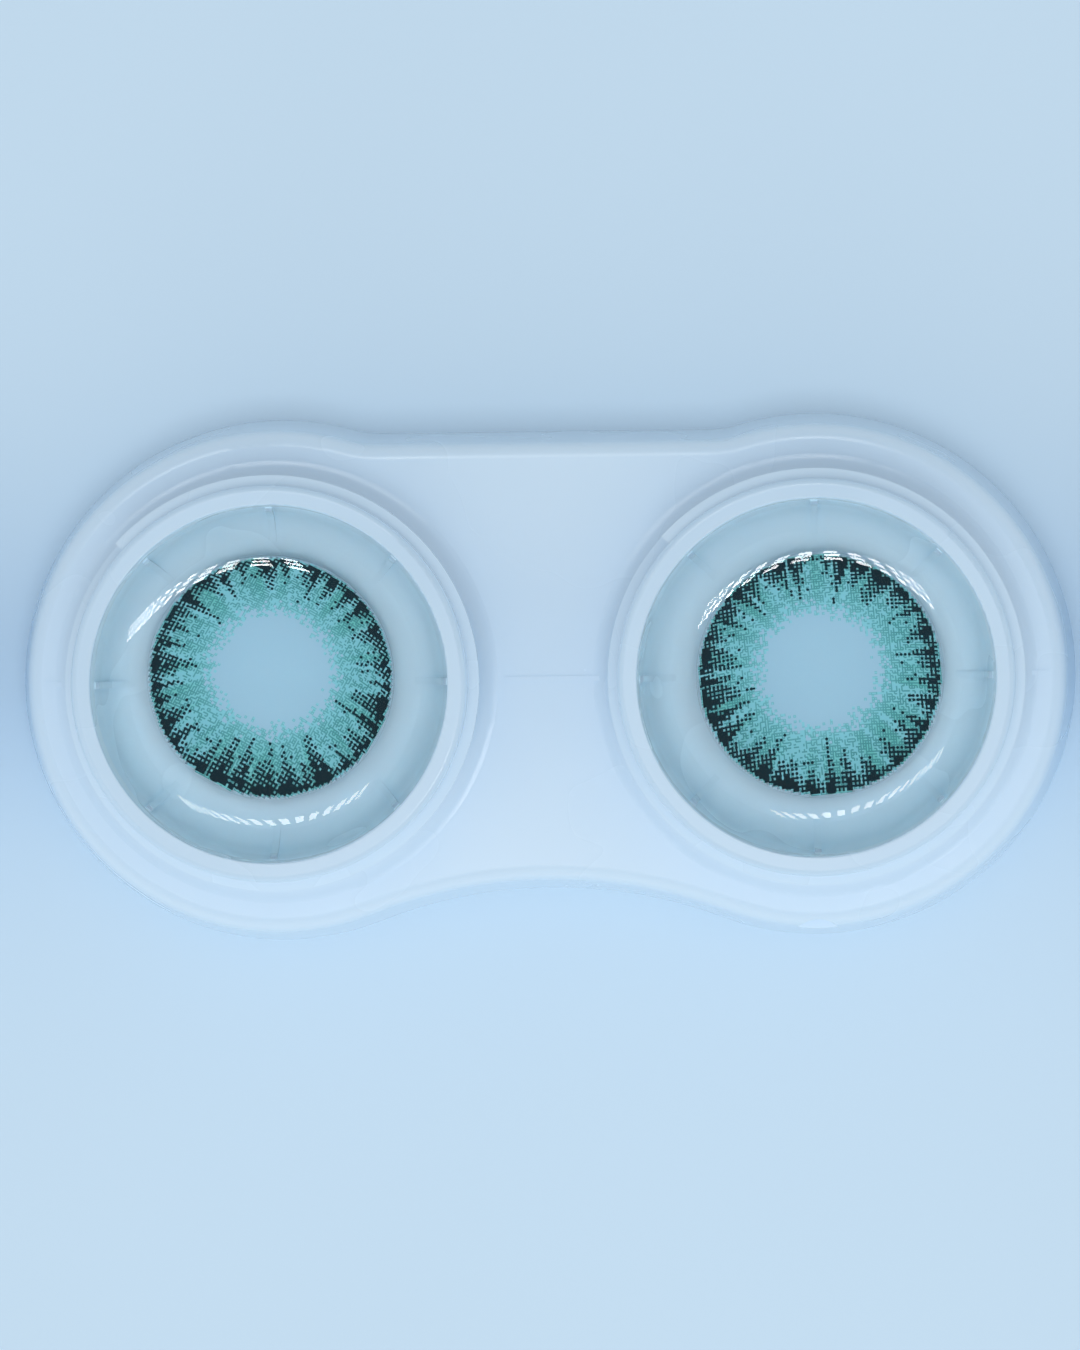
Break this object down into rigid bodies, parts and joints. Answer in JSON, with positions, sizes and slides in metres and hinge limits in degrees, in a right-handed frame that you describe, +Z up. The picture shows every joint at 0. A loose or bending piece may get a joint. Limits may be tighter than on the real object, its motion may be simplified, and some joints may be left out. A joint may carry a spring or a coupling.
{
  "type": "contact lens case",
  "caption": "Screw-top contact lens case, open, with ribbed wells on a waisted tray, loose screw caps and tinted soft lenses soaking in the wells.",
  "frame": {"origin": "On the surface that the case stands on, midway between the two well axes, which is also the bottom centre of the whole set.", "axes": "+X runs from the left well to the right well, +Y towards the tray's straight long edge, +Z up out of the wells."},
  "size_m": [0.1212, 0.03, 0.0125],
  "materials": {
    "case_plastic": "satin moulded polypropylene",
    "cap_plastic": "satin moulded polypropylene",
    "lens_gel": "wet hydrogel with a printed dot tint"
  },
  "bodies": {
    "case": {"case_body": "case_plastic"},
    "cap_left": {"cap_left": "cap_plastic"},
    "cap_right": {"cap_right": "cap_plastic"},
    "lens_left": {"lens_left": "lens_gel"},
    "lens_right": {"lens_right": "lens_gel"}
  },
  "joints": [
    {"name": "cap_left_lift", "type": "slide", "parent": "case", "child": "cap_left", "axis": [0, 0, 1], "range_m": [0, 0.03]},
    {"name": "cap_right_lift", "type": "slide", "parent": "case", "child": "cap_right", "axis": [0, 0, 1], "range_m": [0, 0.03]},
    {"name": "lens_left_lift", "type": "slide", "parent": "case", "child": "lens_left", "axis": [0, 0, 1], "range_m": [0, 0.02]},
    {"name": "lens_right_lift", "type": "slide", "parent": "case", "child": "lens_right", "axis": [0, 0, 1], "range_m": [0, 0.02]}
  ]
}
